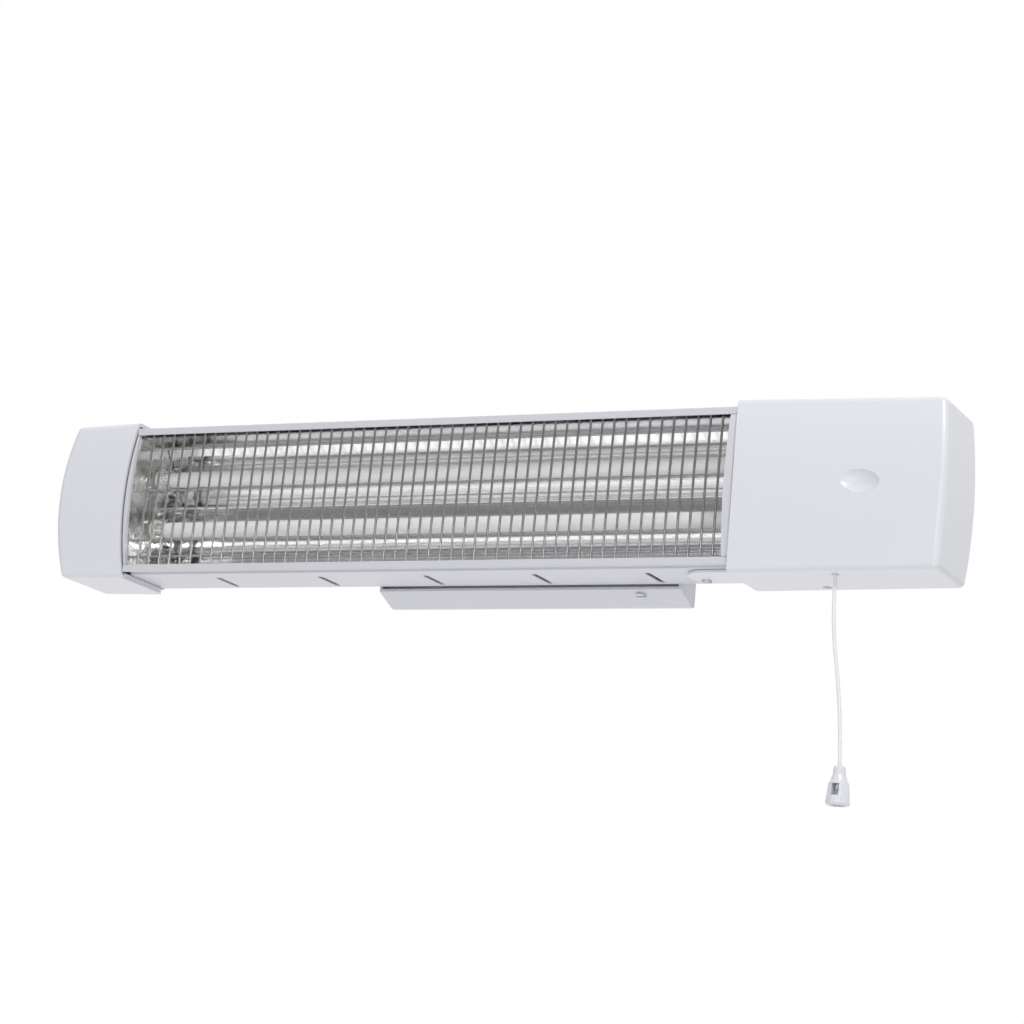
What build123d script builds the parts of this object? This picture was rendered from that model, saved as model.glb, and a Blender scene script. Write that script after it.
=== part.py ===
from build123d import *
import math
import os

# Wall-mounted quartz heater with a pull cord, in millimetres.
# X runs along the wall to the right, Y goes into the wall and Z is up.
# The origin is on the wall, midway between the two wall screws.

# Sheet-metal body
BODY_LENGTH = 415.0
BODY_HEIGHT = 95.0
BODY_DEPTH = 51.5
BODY_SHIFT = -54.0
UNDERSIDE_Z = -40.0
WALL_GAP = 27.0
SHEET = 1.0
BEND_RADIUS = 0.8
LIP_HEIGHT = 4.5
GROOVE_START = 2.2
GROOVE_WIDTH = 7.8
GROOVE_DEPTH = 1.8
INSERT_LENGTH = 8.0
INSERT_SETBACK = 12.5
VENT_COUNT = 5
VENT_PITCH = 74.3
VENT_WIDTH = 3.6
VENT_LENGTH = 26.5
VENT_SETBACK = 34.0

# Plastic end caps
LEFT_CAP_WIDTH = 52.5
LEFT_CAP_BELOW = 4.0
LEFT_CAP_ABOVE = 4.0
LEFT_CAP_FALL = 1.6
LEFT_CAP_RISE = 0.8
LEFT_CAP_CROWN = 6.0
LEFT_CAP_BOW = 2.4
LEFT_CAP_NOTCH = 9.0
RIGHT_CAP_WIDTH = 130.5
RIGHT_CAP_BELOW = 5.0
RIGHT_CAP_ABOVE = 4.3
RIGHT_CAP_FALL = 3.0
RIGHT_CAP_RISE = 1.0
RIGHT_CAP_CROWN = 4.0
RIGHT_CAP_BOW = 2.2
CAP_PROUD = 0.5
CAP_BULGE = 5.5
CAP_WALL = 2.2
CAP_FIT = 0.3
CAP_EDGE_RADIUS = 3.8
CAP_CORNER = 4.0
CAP_SCREW_SPREAD = 44.0
CAP_SCREW_RADIUS = 1.3
CAP_SCREW_HEAD = 3.2
DIMPLE_SETBACK = 79.9
DIMPLE_DROP = 1.0
DIMPLE_LENGTH = 23.5
DIMPLE_HEIGHT = 13.9
DIMPLE_DEPTH = 3.0
DIMPLE_TILT = 5.0
TONGUE_LENGTH = 33.5
TONGUE_WIDTH = 28.0
TONGUE_SETBACK = 26.5
TONGUE_THICKNESS = 1.6
TONGUE_SCREW_SETBACK = 25.6
TONGUE_SCREW_OFFSET = 7.8
TONGUE_SCREW_RADIUS = 1.5
TONGUE_SCREW_HEAD = 3.0
FLOOR_SCREW_SETBACK = 46.6
FLOOR_SCREW_INSET = 8.0
FLOOR_SCREW_RADIUS = 1.25
FLOOR_SCREW_HEAD = 2.6

# Chamber: side frames, reflector, tubes
LEFT_STRIP_WIDTH = 1.4
RIGHT_STRIP_WIDTH = 4.0
STRIP_BULGE = 4.2
STRIP_GAP = 0.9
REFLECTOR_SHEET = 0.6
REFLECTOR_FRONT = 5.0
REFLECTOR_INSET = 0.9
TROUGH_BACK = 4.0
RIDGE_BACK = 15.0
LOWER_FOLD = 8.5
END_PLATE = 0.6
LEFT_PLATE_SETBACK = 2.5
RIGHT_PLATE_SETBACK = 1.0
TUBE_DIAMETER = 10.4
TUBE_WALL = 1.2
TUBE_SPACING = 33.8
TUBE_SETBACK = 29.5
TUBE_RAISE = 3.2
COIL_WALL = 1.0
CERAMIC_DIAMETER = 14.0
CERAMIC_LENGTH = 20.0
CERAMIC_SETBACK = 5.3
CERAMIC_SOCKET = 8.0
PIN_DIAMETER = 2.6
PIN_LENGTH = 9.0
CLIP_HEIGHT = 25.0
CLIP_WIDTH = 6.0
CLIP_SHEET = 0.5
CLIP_WAVES = 9
CLIP_WAVE = 0.35

# Wire guard
WIRE_DIAMETER = 1.6
WIRE_PITCH = 7.74
WIRE_COUNT = 52
WIRE_BULGE = 0.7
WIRE_TUCK = 1.0
WIRE_TOP_SETBACK = 3.7
WIRE_LOW_SETBACK = 2.0
RAIL_DIAMETER = 1.6
RAIL_HEIGHTS = (34.5, 6.6, -26.2, -37.1)
WELD_DEPTH = 0.1

# Wall bracket and tilt pivot
BRACKET_LENGTH = 206.0
BRACKET_SHEET = 1.5
BRACKET_TOP = 22.0
BRACKET_DROP = 9.5
FLOOR_SLOPE = 21.6
SCREW_SPACING = 150.0
SCREW_HOLE_RADIUS = 2.6
STOP_SCREW_X = 75.0
STOP_SCREW_Y = -18.0
STOP_SCREW_RADIUS = 1.6
STOP_SCREW_HEAD = 3.2
STOP_SCREW_HEAD_HEIGHT = 1.5
SCREW_SLOT = 0.9
FLOOR_SHORTFALL = 3.7
PIVOT_SETBACK = 7.0
PIVOT_RAISE = 6.0
PIVOT_RADIUS = 2.0
PIVOT_FIT = 0.07
BOSS_RADIUS = 5.0
WASHER_SHEET = 1.0
LUG_SHEET = 1.5
LUG_FOOT = 16.0
LUG_BELOW = 4.2
LUG_ABOVE = 14.0
LUG_SCREW_RADIUS = 1.5
LUG_SCREW_HEAD = 2.8
PIVOT_HEAD_RADIUS = 3.5
PIVOT_HEAD_HEIGHT = 2.4
NUT_HEIGHT = 3.2

# Pull switch, cord and knob
CORD_DIAMETER = 2.2
CORD_POINTS = (
    (216.8, -69.0, -19.2),
    (216.7, -69.1, -48.5),
    (217.6, -68.6, -78.5),
    (221.6, -67.4, -104.5),
    (224.2, -66.0, -130.0),
    (225.2, -65.2, -154.6),
)
BUSHING_RADIUS = 3.4
BUSHING_BORE = 1.9
BALL_RADIUS = 2.8
KNOB_HEIGHT = 22.3
KNOB_TOP_RADIUS = 3.4
KNOB_NECK_RADIUS = 4.9
KNOB_SHOULDER_RADIUS = 5.8
KNOB_BASE_RADIUS = 7.0
KNOT_RADIUS = 2.5
LEVER_ARM = 15.0
LEVER_THICKNESS = 3.0
LEVER_PIN = 1.5
ROTOR_RADIUS = 8.0
ROTOR_PIN = 2.0
SMALL_GAP = 0.3

# Wiring in the right cap
GROMMET_SETBACK = 100.0
GROMMET_DROP = 27.0
GROMMET_BORE = 4.0
GROMMET_NECK = 6.8
GROMMET_FLANGE = 9.0
LEAD_DIAMETER = 2.4

# Places worked out from the sizes above
X_LEFT = BODY_SHIFT - BODY_LENGTH / 2
X_RIGHT = BODY_SHIFT + BODY_LENGTH / 2
Y_BACK = -WALL_GAP
Y_FRONT = Y_BACK - BODY_DEPTH
Z_LOW = UNDERSIDE_Z
Z_HIGH = UNDERSIDE_Z + BODY_HEIGHT
Z_MID = (Z_LOW + Z_HIGH) / 2
CAP_BACK = Y_BACK + CAP_FIT + CAP_WALL
CAP_FRONT = Y_FRONT - CAP_PROUD
X_RIGHT_END = X_RIGHT + RIGHT_CAP_WIDTH
TUBE_Y = Y_FRONT + TUBE_SETBACK
RIDGE_Z = Z_MID + TUBE_RAISE
TUBE_HIGH = RIDGE_Z + TUBE_SPACING / 2
TUBE_LOW = RIDGE_Z - TUBE_SPACING / 2
TUBES = (("upper", TUBE_HIGH), ("lower", TUBE_LOW))
SIDES = (("left", X_LEFT, 1), ("right", X_RIGHT, -1))
LEFT_WEB = X_LEFT + LEFT_STRIP_WIDTH
RIGHT_WEB = X_RIGHT - RIGHT_STRIP_WIDTH
PIVOT_Y = Y_BACK + PIVOT_SETBACK
PIVOT_Z = Z_LOW + PIVOT_RAISE
EAR_X = BRACKET_LENGTH / 2
LUG_X = EAR_X - BRACKET_SHEET - WASHER_SHEET - 0.2
CORD_X, CORD_Y, CORD_TOP = CORD_POINTS[0]

os.makedirs("parts", exist_ok=True)


def write(part, name):
    """Labels a finished piece and writes its STEP file."""
    part.label = name
    export_step(part, "parts/" + name + ".step")


def across(x):
    """The plane square to the body's length at x, where local x is Y and local y is Z."""
    return Plane.YZ.offset(x)


def facing_front(y):
    """The plane parallel to the wall at y, whose normal points to the room."""
    return Plane(origin=(0, y, 0), x_dir=(1, 0, 0), z_dir=(0, -1, 0))


def outline(plane, points):
    """A closed straight-sided face on a plane."""
    with BuildSketch(plane) as face:
        with BuildLine():
            Polyline(*points, close=True)
        make_face()
    return face.sketch


def block(x0, x1, y0, y1, z0, z1, mode=Mode.ADD):
    """A box given by its limits."""
    with Locations(((x0 + x1) / 2, (y0 + y1) / 2, (z0 + z1) / 2)):
        Box(abs(x1 - x0), abs(y1 - y0), abs(z1 - z0), mode=mode)


def rod_along_x(y, z, radius, x0, x1, mode=Mode.ADD):
    """A round bar along X."""
    with Locations(((x0 + x1) / 2, y, z)):
        Cylinder(radius, abs(x1 - x0), rotation=(0, 90, 0), mode=mode)


def rod_along_y(x, z, radius, y0, y1, mode=Mode.ADD):
    """A round bar square to the wall."""
    with Locations((x, (y0 + y1) / 2, z)):
        Cylinder(radius, abs(y1 - y0), rotation=(90, 0, 0), mode=mode)


def rod_up(x, y, radius, z0, z1, mode=Mode.ADD):
    """An upright round bar."""
    with Locations((x, y, (z0 + z1) / 2)):
        Cylinder(radius, abs(z1 - z0), mode=mode)


# Housing: folded sheet, open at the front between two lips, with vents below and above
def housing_outer(x):
    """The folded sheet's outer section, with a groove along its front lower edge."""
    roof = Z_LOW + GROOVE_DEPTH
    groove_front = Y_FRONT + GROOVE_START
    groove_back = groove_front + GROOVE_WIDTH
    with BuildSketch(across(x)) as section:
        with BuildLine():
            Polyline(
                (Y_FRONT, Z_LOW), (groove_front, Z_LOW), (groove_front, roof), (groove_back, roof),
                (groove_back, Z_LOW), (Y_BACK, Z_LOW), (Y_BACK, Z_HIGH), (Y_FRONT, Z_HIGH), close=True,
            )
        make_face()
        fillet(section.vertices(), BEND_RADIUS)
    return section.sketch


def housing_inner(x):
    """The space inside the folded sheet."""
    roof = Z_LOW + GROOVE_DEPTH + SHEET
    step = Y_FRONT + GROOVE_START + GROOVE_WIDTH + SHEET
    return outline(
        across(x),
        (
            (Y_FRONT + SHEET, roof), (step, roof), (step, Z_LOW + SHEET),
            (Y_BACK - SHEET, Z_LOW + SHEET), (Y_BACK - SHEET, Z_HIGH - SHEET),
            (Y_FRONT + SHEET, Z_HIGH - SHEET),
        ),
    )


vent_y = Y_FRONT + VENT_SETBACK
insert_start = X_LEFT - INSERT_LENGTH
insert_end = X_RIGHT + INSERT_LENGTH
cap_screw_xs = (X_LEFT - INSERT_LENGTH / 2, X_RIGHT + INSERT_LENGTH / 2)
cap_screw_zs = (Z_MID - CAP_SCREW_SPREAD / 2, Z_MID + CAP_SCREW_SPREAD / 2)
with BuildPart() as housing:
    extrude(housing_outer(insert_start), amount=insert_end - insert_start)
    extrude(housing_inner(insert_start), amount=insert_end - insert_start, mode=Mode.SUBTRACT)
    block(
        insert_start, insert_end, Y_FRONT - 1, Y_FRONT + SHEET,
        Z_LOW + LIP_HEIGHT, Z_HIGH - LIP_HEIGHT, mode=Mode.SUBTRACT,
    )
    for x0, x1 in ((insert_start - 1, X_LEFT), (X_RIGHT, insert_end + 1)):
        block(x0, x1, Y_FRONT - 1, Y_FRONT + INSERT_SETBACK, Z_LOW - 1, Z_HIGH + 1, mode=Mode.SUBTRACT)
    with BuildSketch(Plane.XY.offset(Z_LOW - 1)):
        with Locations((BODY_SHIFT, vent_y)):
            with GridLocations(VENT_PITCH, 1, VENT_COUNT, 1):
                SlotOverall(VENT_LENGTH, VENT_WIDTH, rotation=90)
    extrude(amount=BODY_HEIGHT + 2, mode=Mode.SUBTRACT)
    for x in cap_screw_xs:
        for z in cap_screw_zs:
            rod_along_y(
                x, z, CAP_SCREW_RADIUS + 0.1, Y_BACK + 1, Y_BACK - SHEET - 1, mode=Mode.SUBTRACT
            )
write(housing.part, "housing")


# Side frames: a tray at each end of the chamber with a bowed strip round its front
strip_low = Z_LOW + LIP_HEIGHT + SMALL_GAP
strip_high = Z_HIGH - LIP_HEIGHT - SMALL_GAP
tray_front = Y_FRONT + SHEET + SMALL_GAP
tray_back = Y_BACK - SHEET - SMALL_GAP
tray_roof = Z_HIGH - SHEET - SMALL_GAP
tray_floor = Z_LOW + GROOVE_DEPTH + SHEET + SMALL_GAP


def bowed_face(x, setback, back):
    """The face from depth back out to a line that follows the strip's bowed front."""
    front = Y_FRONT + setback
    with BuildSketch(across(x)) as face:
        with BuildLine():
            arc = ThreePointArc(
                (front, strip_low), (front - STRIP_BULGE, Z_MID), (front, strip_high)
            )
            Polyline(arc @ 1, (back, strip_high), (back, strip_low), arc @ 0)
        make_face()
    return face.sketch


def mouth_points(x, outward, below, above, bow):
    """Three points of a cap's bowed edge as the room sees it."""
    return (x, Z_LOW - below - 1), (x + outward * bow, Z_MID), (x, Z_HIGH + above + 1)


def side_frame(x_cap, web, inward, below, above, bow):
    """The tray whose strip runs from the cap's bowed edge to the chamber."""
    outer_edge = x_cap - inward * bow
    depth = abs(web - outer_edge)
    with BuildPart() as frame:
        extrude(bowed_face(outer_edge, 0, tray_front), amount=inward * depth)
        extrude(
            bowed_face(outer_edge, SHEET, tray_front), amount=inward * (depth - SHEET),
            mode=Mode.SUBTRACT,
        )
        block(web - inward * SHEET, web, tray_front, tray_back, tray_floor, tray_roof)
        with BuildSketch(facing_front(0)):
            with BuildLine():
                edge = ThreePointArc(
                    *mouth_points(x_cap + inward * STRIP_GAP, -inward, below, above, bow)
                )
                far = web + inward
                Polyline(edge @ 1, (far, (edge @ 1).Y), (far, (edge @ 0).Y), edge @ 0)
            make_face()
        extrude(amount=2 * (WALL_GAP + BODY_DEPTH), mode=Mode.INTERSECT)
        for _, z in TUBES:
            rod_along_x(
                TUBE_Y, z, CERAMIC_DIAMETER / 2 + SMALL_GAP, x_cap - 1, web + inward,
                mode=Mode.SUBTRACT,
            )
    return frame.part


write(
    side_frame(X_LEFT, LEFT_WEB, 1, LEFT_CAP_BELOW, LEFT_CAP_ABOVE, LEFT_CAP_BOW),
    "side_frame_left",
)
write(
    side_frame(X_RIGHT, RIGHT_WEB, -1, RIGHT_CAP_BELOW, RIGHT_CAP_ABOVE, RIGHT_CAP_BOW),
    "side_frame_right",
)


# Reflector: two round troughs behind the tubes, with a flange out to each lip
trough_half = TUBE_SPACING / 2 + 0.4
trough_y = Y_BACK - TROUGH_BACK
trough_rise = RIDGE_BACK - TROUGH_BACK
trough_radius = (trough_half ** 2 + trough_rise ** 2) / (2 * trough_rise)
trough_centre = trough_y - trough_radius


def reflector_space(x, grow):
    """The section of the space in front of the reflector, its line moved back by grow."""
    radius = trough_radius + grow
    seam_y = trough_centre + math.sqrt(radius ** 2 - trough_half ** 2)
    front = Y_FRONT + REFLECTOR_FRONT
    high = Z_HIGH - LIP_HEIGHT - REFLECTOR_INSET + grow
    low = Z_LOW + LIP_HEIGHT + REFLECTOR_INSET - grow
    top_seam = (seam_y, RIDGE_Z + 2 * trough_half)
    ridge = (seam_y, RIDGE_Z)
    low_seam = (seam_y, RIDGE_Z - 2 * trough_half)
    with BuildSketch(across(x)) as section:
        with BuildLine():
            Polyline((front, high), (seam_y - 2, high), top_seam)
            ThreePointArc(top_seam, (trough_centre + radius, RIDGE_Z + trough_half), ridge)
            ThreePointArc(ridge, (trough_centre + radius, RIDGE_Z - trough_half), low_seam)
            Polyline(low_seam, (Y_FRONT + LOWER_FOLD + grow / 2, low), (front, low), (front, high))
        make_face()
    return section.sketch


chamber_start = LEFT_WEB + END_PLATE + SMALL_GAP
chamber_end = RIGHT_WEB - END_PLATE - SMALL_GAP
with BuildPart() as reflector:
    extrude(
        reflector_space(chamber_start, REFLECTOR_SHEET), amount=chamber_end - chamber_start
    )
    extrude(
        reflector_space(chamber_start, 0), amount=chamber_end - chamber_start, mode=Mode.SUBTRACT
    )
write(reflector.part, "reflector")

for side, web, inward, setback in (
    ("left", LEFT_WEB, 1, LEFT_PLATE_SETBACK), ("right", RIGHT_WEB, -1, RIGHT_PLATE_SETBACK),
):
    with BuildPart() as reflector_end:
        extrude(reflector_space(web, REFLECTOR_SHEET), amount=inward * END_PLATE)
        extrude(
            bowed_face(web, setback, Y_FRONT + REFLECTOR_FRONT), amount=inward * END_PLATE
        )
        for _, z in TUBES:
            rod_along_x(
                TUBE_Y, z, CERAMIC_DIAMETER / 2 + SMALL_GAP, web - 2, web + 2, mode=Mode.SUBTRACT
            )
    write(reflector_end.part, "reflector_end_" + side)


# Heating elements: milky quartz tube, coil, ceramic holder and terminal pin at each end
tube_start = X_LEFT + CERAMIC_SETBACK - CERAMIC_SOCKET + SMALL_GAP
tube_end = X_RIGHT - CERAMIC_SETBACK + CERAMIC_SOCKET - SMALL_GAP
tube_bore = TUBE_DIAMETER / 2 - TUBE_WALL
coil_radius = tube_bore - SMALL_GAP
for level, z in TUBES:
    with BuildPart() as quartz_tube:
        rod_along_x(TUBE_Y, z, TUBE_DIAMETER / 2, tube_start, tube_end)
        rod_along_x(TUBE_Y, z, tube_bore, tube_start, tube_end, mode=Mode.SUBTRACT)
    write(quartz_tube.part, "quartz_tube_" + level)
    with BuildPart() as heating_coil:
        rod_along_x(TUBE_Y, z, coil_radius, tube_start, tube_end)
        rod_along_x(TUBE_Y, z, coil_radius - COIL_WALL, tube_start, tube_end, mode=Mode.SUBTRACT)
    write(heating_coil.part, "heating_coil_" + level)


def ceramic_holder(x_mouth, z, outward):
    """A grooved ceramic end piece whose socket takes the tube."""
    radius = CERAMIC_DIAMETER / 2
    with BuildPart() as holder:
        with BuildSketch(Plane.XY):
            with BuildLine():
                Polyline(
                    (0, 0), (0, radius - 0.5), (0.5, radius), (CERAMIC_LENGTH - 8, radius),
                    (CERAMIC_LENGTH - 7, radius - 1.2), (CERAMIC_LENGTH - 5, radius - 1.2),
                    (CERAMIC_LENGTH - 4, radius - 0.4), (CERAMIC_LENGTH - 2, radius - 0.4),
                    (CERAMIC_LENGTH, radius - 2.4), (CERAMIC_LENGTH, 0), close=True,
                )
            make_face()
        revolve(axis=Axis.X)
        rod_along_x(0, 0, TUBE_DIAMETER / 2 + 0.15, -1, CERAMIC_SOCKET, mode=Mode.SUBTRACT)
        rod_along_x(
            0, 0, PIN_DIAMETER / 2 + 0.1, CERAMIC_SOCKET - 1, CERAMIC_LENGTH + 1, mode=Mode.SUBTRACT
        )
    turn = 0 if outward > 0 else 180
    return Pos(x_mouth, TUBE_Y, z) * Rot(0, 0, turn) * holder.part


def clip_curve(share, offset):
    """A point of the clip's section at share -1 to 1, moved sideways by offset."""
    reach = trough_radius - 6.5
    wave = CLIP_WAVE * math.sin(share * CLIP_WAVES * math.pi)
    y = -6.9 + (reach + 6.9) * share ** 2
    z = CLIP_HEIGHT / 2 * share
    slope_y = 2 * (reach + 6.9) * share
    slope_z = CLIP_HEIGHT / 2
    length = math.hypot(slope_y, slope_z)
    side = wave + offset
    return (y + side * slope_z / length, z - side * slope_y / length)


def tube_clip(x_start, z, inward):
    """A crinkled spring strip over the front of a tube, its legs against the reflector."""
    steps = 6 * CLIP_WAVES
    shares = [2 * step / steps - 1 for step in range(steps + 1)]
    front = [clip_curve(share, -CLIP_SHEET / 2) for share in shares]
    back = [clip_curve(share, CLIP_SHEET / 2) for share in reversed(shares)]
    points = [(TUBE_Y + dy, z + dz) for dy, dz in front + back]
    with BuildPart() as clip:
        extrude(outline(across(x_start), points), amount=inward * CLIP_WIDTH)
    return clip.part


pin_runs = []
for side, x_cap, inward in SIDES:
    mouth = x_cap + inward * CERAMIC_SETBACK
    for level, z in TUBES:
        write(ceramic_holder(mouth, z, -inward), "ceramic_" + level + "_" + side)
        write(tube_clip(mouth + inward * SMALL_GAP, z, inward), "tube_clip_" + level + "_" + side)
        root = mouth - inward * (CERAMIC_SOCKET + 1)
        tip = mouth - inward * (CERAMIC_LENGTH + PIN_LENGTH)
        pin_runs.append((z, root, tip))
with BuildPart() as terminal_pins:
    for z, root, tip in pin_runs:
        rod_along_x(TUBE_Y, z, PIN_DIAMETER / 2, root, tip)
write(terminal_pins.part, "terminal_pins")


# Wire guard: upright wires, their ends behind the lips, welded to the front of lengthwise rails
half_chord = (BODY_HEIGHT - 2 * LIP_HEIGHT) / 2 + WIRE_TUCK
wire_top_y = Y_FRONT + WIRE_TOP_SETBACK
wire_low_y = Y_FRONT + WIRE_LOW_SETBACK


def wire_y(height):
    """The depth of a wire's centre line at a height above the body's middle."""
    share = height / half_chord
    middle = (wire_top_y + wire_low_y) / 2
    return middle + (wire_top_y - wire_low_y) / 2 * share - WIRE_BULGE * (1 - share ** 2)


with BuildPart() as guard_bars:
    with BuildLine(across(BODY_SHIFT)) as bar_line:
        ThreePointArc(
            (wire_low_y, Z_MID - half_chord), (wire_y(0), Z_MID), (wire_top_y, Z_MID + half_chord)
        )
    with BuildSketch(Plane(origin=bar_line.line @ 0, z_dir=bar_line.line % 0)):
        Circle(WIRE_DIAMETER / 2)
    sweep()
one_bar = guard_bars.part
with BuildPart() as guard_bars:
    with GridLocations(WIRE_PITCH, 1, WIRE_COUNT, 1):
        add(one_bar)
write(guard_bars.part, "guard_bars")

rail_offset = (WIRE_DIAMETER + RAIL_DIAMETER) / 2 - WELD_DEPTH
with BuildPart() as guard_rails:
    for height in RAIL_HEIGHTS:
        rail_y = wire_y(height) + rail_offset
        rod_along_x(rail_y, Z_MID + height, RAIL_DIAMETER / 2, chamber_start, chamber_end)
write(guard_rails.part, "guard_rails")


# End caps: moulded shells with a bowed front, a crowned end and tapered walls
def cap_section(x, low, high, inset):
    """The cap's section square to X, moved in by inset all round."""
    front = CAP_FRONT + inset
    back = CAP_BACK - inset
    with BuildSketch(across(x)) as section:
        with BuildLine():
            arc = ThreePointArc(
                (front, low + inset), (front - CAP_BULGE, (low + high) / 2), (front, high - inset)
            )
            Polyline(arc @ 1, (back, high - inset), (back, low + inset), arc @ 0)
        make_face()
    return section.sketch


def cap_shell(x_cap, outward, width, below, above, rise, fall, crown, bow):
    """A hollow cap that is open towards the body."""
    low = Z_LOW - below
    high = Z_HIGH + above
    x_far = x_cap + outward * width
    x_floor = x_far - outward * (crown + CAP_WALL)
    share = (width - crown - CAP_WALL) / width
    with BuildPart() as shell:
        loft(
            [cap_section(x_cap, low, high, 0), cap_section(x_far, low + rise, high - fall, 0)],
            ruled=True,
        )
        with BuildSketch(facing_front(0)):
            with BuildLine():
                x_edge = x_far - outward * crown
                mouth = ThreePointArc(*mouth_points(x_cap, outward, below, above, bow))
                end = ThreePointArc((x_edge, high + 1), (x_far, Z_MID), (x_edge, low - 1))
                Line(mouth @ 1, end @ 0)
                Line(end @ 1, mouth @ 0)
            make_face()
        extrude(amount=2 * (WALL_GAP + BODY_DEPTH), mode=Mode.INTERSECT)
        rounded = [edge for edge in shell.edges() if abs(edge.center().X - x_cap) > 2 * bow + 2]
        fillet(rounded, CAP_EDGE_RADIUS)
        loft(
            [
                cap_section(x_cap - outward, low, high, CAP_WALL),
                cap_section(x_floor, low + rise * share, high - fall * share, CAP_WALL),
            ],
            ruled=True,
            mode=Mode.SUBTRACT,
        )
        with BuildSketch(Plane.XY.offset(low - 1)):
            with BuildLine():
                Line((x_cap, CAP_BACK), (x_cap, CAP_BACK - CAP_CORNER))
                RadiusArc(
                    (x_cap, CAP_BACK - CAP_CORNER), (x_cap + outward * CAP_CORNER, CAP_BACK),
                    outward * CAP_CORNER,
                )
                Line((x_cap + outward * CAP_CORNER, CAP_BACK), (x_cap, CAP_BACK))
            make_face()
        extrude(amount=high - low + 2, mode=Mode.SUBTRACT)
        for z in cap_screw_zs:
            rod_along_y(
                x_cap + outward * INSERT_LENGTH / 2, z, CAP_SCREW_RADIUS + 0.5, CAP_BACK + 1,
                CAP_BACK - CAP_WALL - 1, mode=Mode.SUBTRACT,
            )
    return shell.part


left_low = Z_LOW - LEFT_CAP_BELOW
with BuildPart() as left_cap:
    add(
        cap_shell(
            X_LEFT, -1, LEFT_CAP_WIDTH, LEFT_CAP_BELOW, LEFT_CAP_ABOVE, LEFT_CAP_RISE,
            LEFT_CAP_FALL, LEFT_CAP_CROWN, LEFT_CAP_BOW,
        )
    )
    block(
        X_LEFT - 0.3, X_LEFT - 0.3 - CAP_WALL, CAP_FRONT + CAP_EDGE_RADIUS, CAP_BACK - CAP_CORNER,
        left_low + CAP_WALL / 2, Z_LOW - SMALL_GAP,
    )
    with BuildSketch(Plane.XY.offset(left_low - 1)):
        with BuildLine():
            notch_front = (X_LEFT, CAP_BACK - LEFT_CAP_NOTCH)
            notch_back = (X_LEFT - LEFT_CAP_NOTCH, CAP_BACK)
            RadiusArc(notch_front, notch_back, -LEFT_CAP_NOTCH)
            Polyline(notch_back, (X_LEFT, CAP_BACK), notch_front)
        make_face()
    extrude(amount=LEFT_CAP_BELOW + 1 - SMALL_GAP, mode=Mode.SUBTRACT)
write(left_cap.part, "left_cap")

right_low = Z_LOW - RIGHT_CAP_BELOW
dimple_x = X_RIGHT + DIMPLE_SETBACK
dimple_z = Z_MID - DIMPLE_DROP
cap_crest = CAP_FRONT - CAP_BULGE
dish_radius = 2 * DIMPLE_DEPTH
dish_share = math.sqrt(1 - ((dish_radius - DIMPLE_DEPTH) / dish_radius) ** 2)
dish = scale(
    Sphere(1), (DIMPLE_LENGTH / 2 / dish_share, dish_radius, DIMPLE_HEIGHT / 2 / dish_share)
)
dish_place = Pos(dimple_x, cap_crest - dish_radius + DIMPLE_DEPTH, dimple_z) * Rot(0, DIMPLE_TILT, 0)
tongue_y = Y_FRONT + TONGUE_SETBACK
tongue_top = Z_LOW - SMALL_GAP
tongue_low = tongue_top - TONGUE_THICKNESS
tongue_screw_x = X_RIGHT - TONGUE_SCREW_SETBACK
tongue_screw_y = tongue_y + TONGUE_SCREW_OFFSET
floor_screw_x = X_RIGHT + FLOOR_SCREW_SETBACK
floor_screw_y = Y_BACK - FLOOR_SCREW_INSET
cap_floor_top = right_low + CAP_WALL
grommet_x = X_RIGHT + GROMMET_SETBACK
grommet_z = Z_MID - GROMMET_DROP
with BuildPart() as right_cap:
    add(
        cap_shell(
            X_RIGHT, 1, RIGHT_CAP_WIDTH, RIGHT_CAP_BELOW, RIGHT_CAP_ABOVE, RIGHT_CAP_RISE,
            RIGHT_CAP_FALL, RIGHT_CAP_CROWN, RIGHT_CAP_BOW,
        )
    )
    with BuildSketch(facing_front(cap_crest + DIMPLE_DEPTH + CAP_WALL)):
        with Locations((dimple_x, dimple_z)):
            Ellipse(DIMPLE_LENGTH / 2 + 1, DIMPLE_HEIGHT / 2 + 1)
    extrude(amount=DIMPLE_DEPTH + CAP_WALL - 1)
    add(dish_place * dish, mode=Mode.SUBTRACT)
    with BuildSketch(Plane.XY.offset(tongue_low)):
        with Locations((X_RIGHT - TONGUE_LENGTH + TONGUE_WIDTH / 2, tongue_y)):
            Circle(TONGUE_WIDTH / 2)
        with Locations((X_RIGHT - (TONGUE_LENGTH - TONGUE_WIDTH / 2 - 4) / 2, tongue_y)):
            Rectangle(TONGUE_LENGTH - TONGUE_WIDTH / 2 + 4, TONGUE_WIDTH)
    extrude(amount=TONGUE_THICKNESS)
    block(
        X_RIGHT + 1, X_RIGHT + 4, tongue_y - TONGUE_WIDTH / 2, tongue_y + TONGUE_WIDTH / 2,
        right_low + CAP_WALL / 2, tongue_top,
    )
    for x, y, radius, z0, z1 in (
        (tongue_screw_x, tongue_screw_y, TONGUE_SCREW_RADIUS + 0.3, tongue_low - 1, tongue_top + 1),
        (floor_screw_x, floor_screw_y, FLOOR_SCREW_HEAD + 0.3, right_low - 1, cap_floor_top + 2),
        (CORD_X, CORD_Y, BUSHING_RADIUS, right_low - 1, cap_floor_top + 2),
    ):
        rod_up(x, y, radius, z0, z1, mode=Mode.SUBTRACT)
    rod_along_y(
        grommet_x, grommet_z, GROMMET_NECK + 0.2, CAP_BACK + 1, CAP_BACK - CAP_WALL - 2,
        mode=Mode.SUBTRACT,
    )
write(right_cap.part, "right_cap")

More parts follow.
